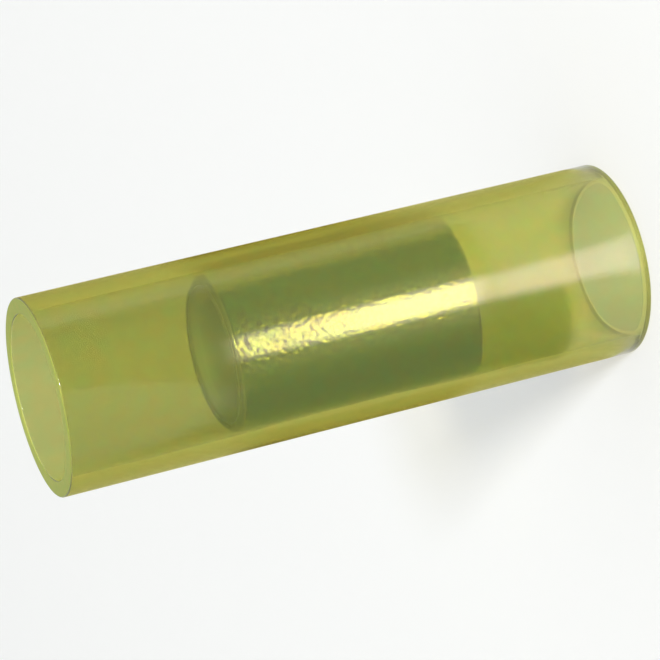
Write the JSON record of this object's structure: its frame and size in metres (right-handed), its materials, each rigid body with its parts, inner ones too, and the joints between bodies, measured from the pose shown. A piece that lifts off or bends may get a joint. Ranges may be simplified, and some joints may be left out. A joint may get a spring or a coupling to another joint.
{
  "type": "parallel splice connector",
  "caption": "Parallel splice connector: a short tinned copper crimp barrel held in the middle of a plain clear yellow nylon sleeve, open at both ends.",
  "frame": {"origin": "centre of the sleeve's lower cut end, on the axis, where the part stands on that end", "axes": "+Z along the common axis of sleeve and barrel, from the lower cut end to the upper one"},
  "size_m": [0.0084, 0.0084, 0.026],
  "materials": {
    "yellow_nylon": "clear extruded nylon, slightly hazy",
    "tinned_copper": "bright tin plate, satin from barrel tumbling"
  },
  "bodies": {
    "root": {"insulating_sleeve": "yellow_nylon", "crimp_barrel": "tinned_copper"}
  },
  "joints": []
}
